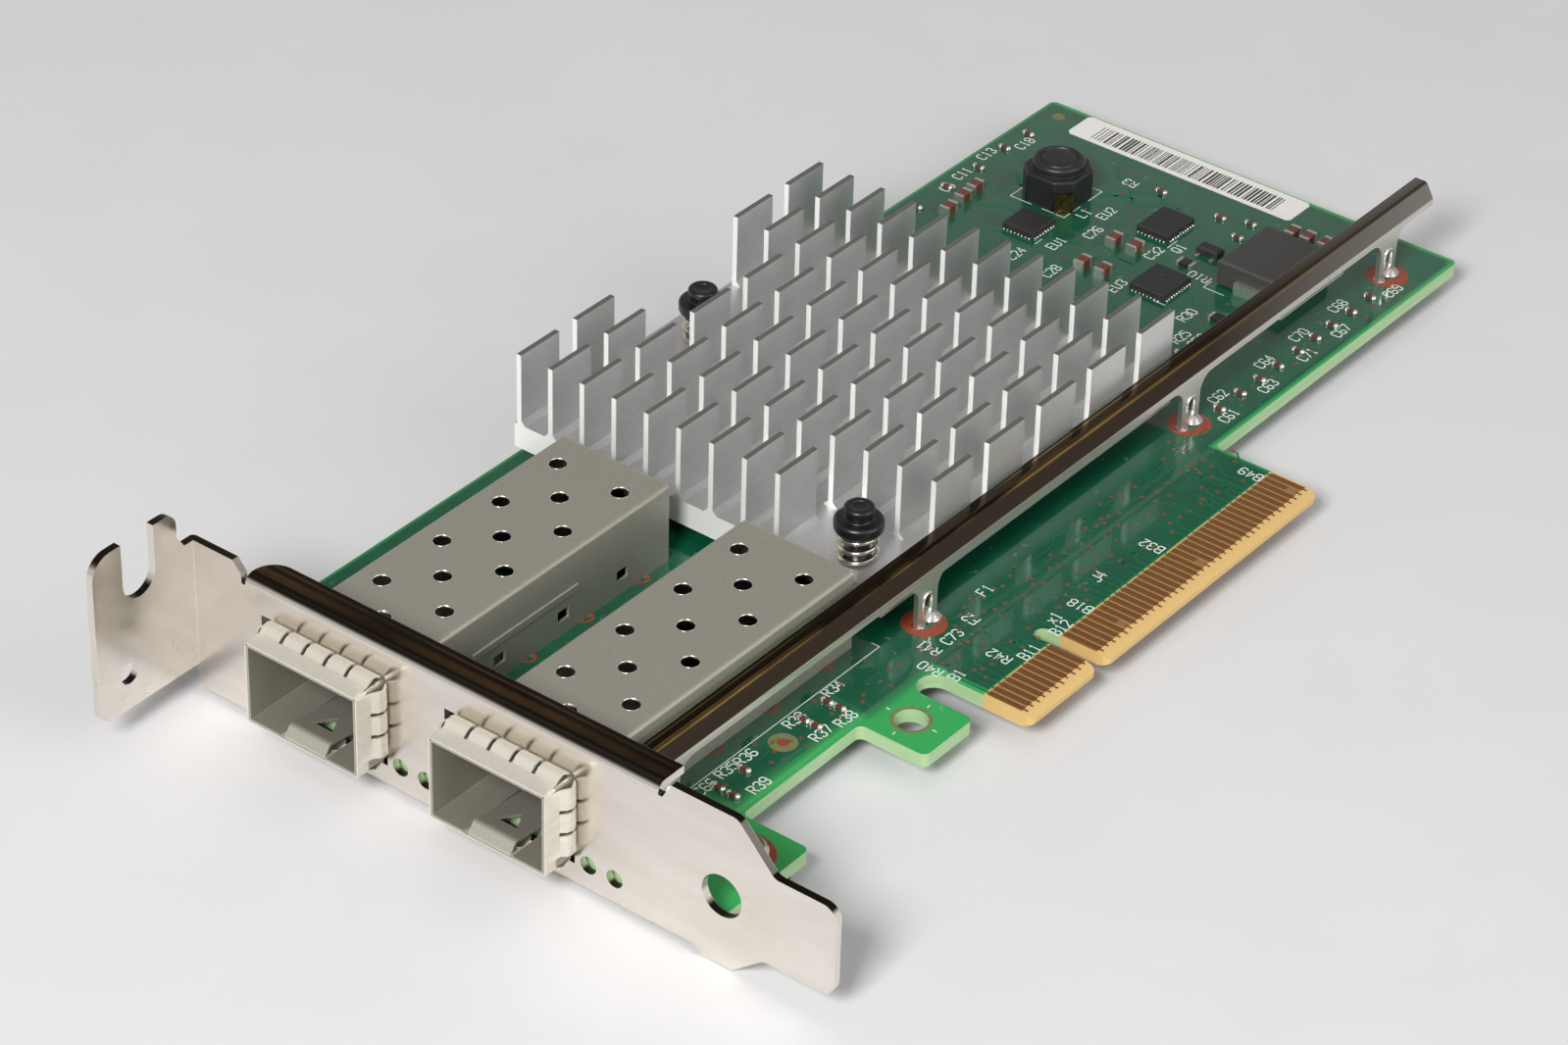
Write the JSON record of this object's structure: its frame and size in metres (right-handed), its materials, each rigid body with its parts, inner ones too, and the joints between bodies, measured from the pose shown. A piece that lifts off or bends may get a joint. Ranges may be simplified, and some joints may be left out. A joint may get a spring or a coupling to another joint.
{
  "type": "network interface card",
  "caption": "Low-profile plug-in network card: green board with edge connector, slotted bracket, twin module cages, finned heat sink and a long stiffener bar.",
  "frame": {"origin": "centre of the card's box in X and Y, at the bracket's lowest point", "axes": "+X along the card from the bracket to the board's back edge, +Y from the edge connector to the opposite long edge, +Z out of the component side"},
  "size_m": [0.1596, 0.08, 0.023],
  "materials": {
    "board_green": "glossy solder mask over woven laminate",
    "gold_contact": "gold-plated copper",
    "plated_steel": "bright nickel plate, a little warm",
    "cage_metal": "satin plated sheet",
    "extruded_aluminium": "fine-grained extruded, bare",
    "black_plastic": "moulded nylon",
    "spring_steel": "bright wire",
    "bar_steel": "bright plated sheet",
    "solder": "bright tin alloy",
    "chip_epoxy": "moulded epoxy",
    "ferrite": "dark grey ferrite, satin",
    "choke_grey": "pressed powder, matt grey",
    "capacitor_brown": "brown ceramic, satin",
    "tin": "tinned ends",
    "thermal_gel": "soft pad",
    "lamp_body": "clear moulded lamp",
    "label_paper": "white label, matt"
  },
  "bodies": {
    "root": {"circuit_board": "board_green", "edge_contacts_front": "gold_contact", "edge_contacts_rear": "gold_contact", "mounting_bracket": "plated_steel", "bracket_screws": "plated_steel", "port_cage_a": "cage_metal", "port_cage_b": "cage_metal", "cage_floor_a": "cage_metal", "cage_floor_b": "cage_metal", "cage_collar_a": "cage_metal", "cage_collar_b": "cage_metal", "port_socket_a": "black_plastic", "port_socket_b": "black_plastic", "heat_sink": "extruded_aluminium", "thermal_pad": "thermal_gel", "controller_chip": "chip_epoxy", "push_pins": "black_plastic", "pin_springs": "spring_steel", "stiffener_bar": "bar_steel", "bar_solder": "solder", "drum_inductor": "ferrite", "drum_clips": "tin", "square_choke": "choke_grey", "choke_terminals": "tin", "driver_chip": "chip_epoxy", "memory_chip": "chip_epoxy", "regulator_chip": "chip_epoxy", "transistor": "chip_epoxy", "large_capacitors": "capacitor_brown", "capacitor_ends": "tin", "chip_resistors": "chip_epoxy", "resistor_ends": "tin", "small_passives": "capacitor_brown", "status_lamps": "lamp_body", "paper_label": "label_paper"}
  },
  "joints": []
}
